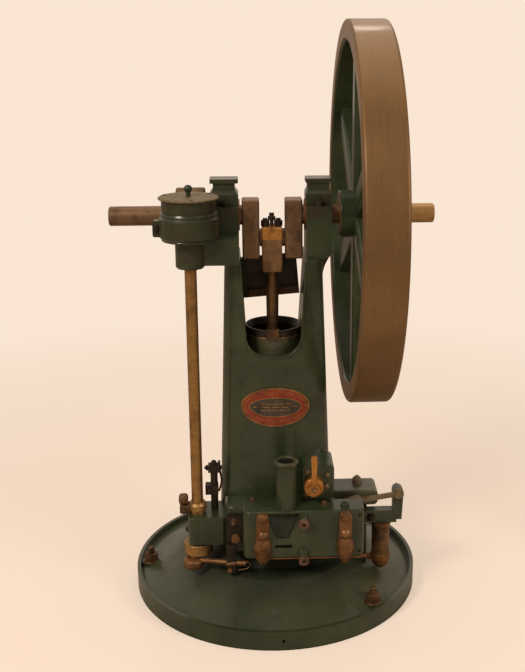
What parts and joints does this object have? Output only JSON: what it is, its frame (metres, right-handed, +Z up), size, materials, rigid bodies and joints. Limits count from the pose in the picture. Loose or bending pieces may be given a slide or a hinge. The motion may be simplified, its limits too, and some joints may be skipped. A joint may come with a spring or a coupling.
{
  "type": "stationary gas engine",
  "caption": "Vertical stationary gas engine with a round base, green cast column, overhead crankshaft, one spoked flywheel and slide-valve gear.",
  "frame": {"origin": "on the floor, under the middle of the round base", "axes": "+X along the crankshaft towards the flywheel, -Y towards the valve gear side, +Z up"},
  "size_m": [0.785, 0.914, 1.422],
  "materials": {
    "green_paint": "satin",
    "bare_iron": "satin",
    "bright_steel": "polished",
    "dark_steel": "satin",
    "bronze": "satin",
    "plate_paint": "satin"
  },
  "bodies": {
    "frame": {"base_plate": "green_paint", "column": "green_paint", "cylinder_barrel": "green_paint", "oil_drip_block": "bronze", "bearing_cap_left": "green_paint", "bearing_cap_right": "green_paint", "bearing_bush_left": "bronze", "bearing_bush_right": "bronze", "splash_guard": "green_paint", "gear_case": "green_paint", "gear_case_lid": "bare_iron", "lid_knob": "bare_iron", "gear_hood": "bare_iron", "side_shaft_bracket": "green_paint", "side_shaft_gland": "bronze", "lever_post": "dark_steel", "valve_chest": "green_paint", "slide_cover": "green_paint", "spring_lever_left": "bronze", "spring_lever_right": "bronze", "gas_stub_upper": "bronze", "gas_stub_lower": "bronze", "chimney": "green_paint", "inlet_box": "green_paint", "gas_cock_body": "bronze", "exhaust_box": "green_paint", "valve_bracket": "green_paint", "gas_valve": "bronze", "lever_pivot_pin": "bright_steel", "nameplate": "plate_paint"},
    "crank": {"crankshaft": "bright_steel", "flywheel": "bare_iron", "flywheel_key": "dark_steel"},
    "piston_rod": {"connecting_rod": "bright_steel", "big_end_cap": "bronze", "big_end_nuts": "bright_steel", "rod_oiler": "bronze", "crank_pin": "bright_steel", "piston": "bare_iron", "gudgeon_pin": "bright_steel"},
    "side_shaft": {"side_shaft": "bright_steel", "crank_disc": "bronze"},
    "slide": {"slide_valve": "bare_iron", "drag_link": "bright_steel"},
    "gas_cock": {"gas_cock_lever": "bronze"},
    "valve_lever": {"valve_lever": "bright_steel"}
  },
  "joints": [
    {"name": "crankshaft_turn", "type": "hinge", "parent": "frame", "child": "crank", "pos_m": [0, 0, 0.965], "axis": [1, 0, 0], "continuous": true},
    {"name": "side_shaft_turn", "type": "hinge", "parent": "frame", "child": "side_shaft", "pos_m": [-0.196, -0.112, 0.5], "axis": [0, 0, 1], "continuous": true},
    {"name": "piston_stroke", "type": "slide", "parent": "frame", "child": "piston_rod", "axis": [0, 0, 1], "range_m": [0, 0.112]},
    {"name": "slide_valve_stroke", "type": "slide", "parent": "frame", "child": "slide", "axis": [1, 0, 0], "range_m": [-0.014, 0.046]},
    {"name": "gas_cock_turn", "type": "hinge", "parent": "frame", "child": "gas_cock", "pos_m": [0.0895, -0.19, 0.329], "axis": [0, 1, 0], "range_deg": [0, 90]},
    {"name": "valve_lever_rock", "type": "hinge", "parent": "frame", "child": "valve_lever", "pos_m": [0.306, -0.119, 0.276], "axis": [0, 1, 0], "range_deg": [0, 3]}
  ],
  "couplings": [
    {"joint": "side_shaft_turn", "follows": "crankshaft_turn", "ratio": 0.5}
  ]
}
